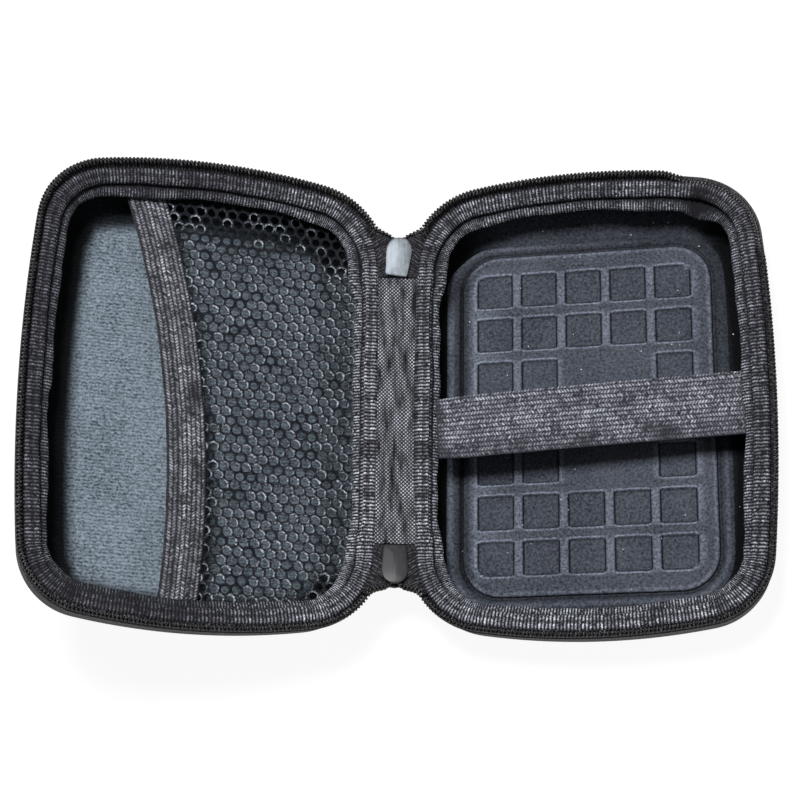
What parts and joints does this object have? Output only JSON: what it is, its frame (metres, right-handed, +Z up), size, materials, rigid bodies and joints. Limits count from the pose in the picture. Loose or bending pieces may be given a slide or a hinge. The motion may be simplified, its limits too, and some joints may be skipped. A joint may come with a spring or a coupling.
{
  "type": "hard drive case",
  "caption": "Small moulded two-part zipped case with a woven spine, sunk-square seat pad and elastic strap in one half and a net pocket in the lid.",
  "frame": {"origin": "middle of the flat back of the base half, which lies on the surface", "axes": "+X away from the spine across the base half, +Y along the spine, +Z up through the open mouth"},
  "size_m": [0.2241, 0.1484, 0.0799],
  "materials": {
    "nylon_skin": "woven nylon skin on moulded foam",
    "charcoal_lining": "brushed knit",
    "charcoal_pad": "knit pressed over moulded foam",
    "ribbed_binding": "ribbed woven tape",
    "zip_tape": "woven polyester",
    "zip_teeth": "nylon coil",
    "ribbed_elastic": "ribbed elastic",
    "grey_lining": "brushed knit",
    "black_net": "knitted net",
    "spine_webbing": "woven webbing",
    "satin_metal": "satin",
    "black_metal": "semi-gloss paint"
  },
  "bodies": {
    "base": {"base_shell": "nylon_skin", "base_lining": "charcoal_lining", "drive_seat": "charcoal_pad", "base_facing": "ribbed_binding", "base_binding": "ribbed_binding", "base_zip_tape": "zip_tape", "base_zip_teeth": "zip_teeth", "drive_strap": "ribbed_elastic"},
    "spine": {"spine_outer_strip": "spine_webbing", "spine_inner_strip": "spine_webbing", "zip_tail_top": "zip_tape", "zip_tail_bottom": "zip_tape"},
    "lid": {"lid_shell": "nylon_skin", "lid_lining": "grey_lining", "lid_facing": "ribbed_binding", "lid_binding": "ribbed_binding", "lid_zip_tape": "zip_tape", "lid_zip_teeth": "zip_teeth", "pocket_net": "black_net", "pocket_elastic": "ribbed_elastic"},
    "slider_top": {"slider_top": "satin_metal"},
    "slider_bottom": {"slider_bottom": "black_metal"},
    "pull_top": {"pull_top": "satin_metal"},
    "pull_bottom": {"pull_bottom": "black_metal"}
  },
  "joints": [
    {"name": "spine_fold", "type": "hinge", "parent": "base", "child": "spine", "pos_m": [-0.0555, 0, 0.0215], "axis": [0, 1, 0], "range_deg": [-20, 82]},
    {"name": "lid_fold", "type": "hinge", "parent": "spine", "child": "lid", "pos_m": [-0.06501, 0, 0.02387], "axis": [0, 1, 0], "range_deg": [-14, 76]},
    {"name": "slider_top_run", "type": "hinge", "parent": "spine", "child": "slider_top", "pos_m": [-0.05433, 0.04642, 0.04646], "axis": [0.9703, 0, -0.2419], "range_deg": [0, 7]},
    {"name": "slider_bottom_run", "type": "hinge", "parent": "spine", "child": "slider_bottom", "pos_m": [-0.05433, -0.04642, 0.04646], "axis": [-0.9703, 0, 0.2419], "range_deg": [0, 7]},
    {"name": "pull_top_swing", "type": "hinge", "parent": "slider_top", "child": "pull_top", "pos_m": [-0.06085, 0.05059, 0.02028], "axis": [0.9703, 0, -0.2419], "range_deg": [-60, 75]},
    {"name": "pull_bottom_swing", "type": "hinge", "parent": "slider_bottom", "child": "pull_bottom", "pos_m": [-0.06085, -0.05059, 0.02028], "axis": [-0.9703, 0, 0.2419], "range_deg": [-60, 75]}
  ],
  "couplings": [
    {"joint": "spine_fold", "follows": "lid_fold", "ratio": 1}
  ]
}
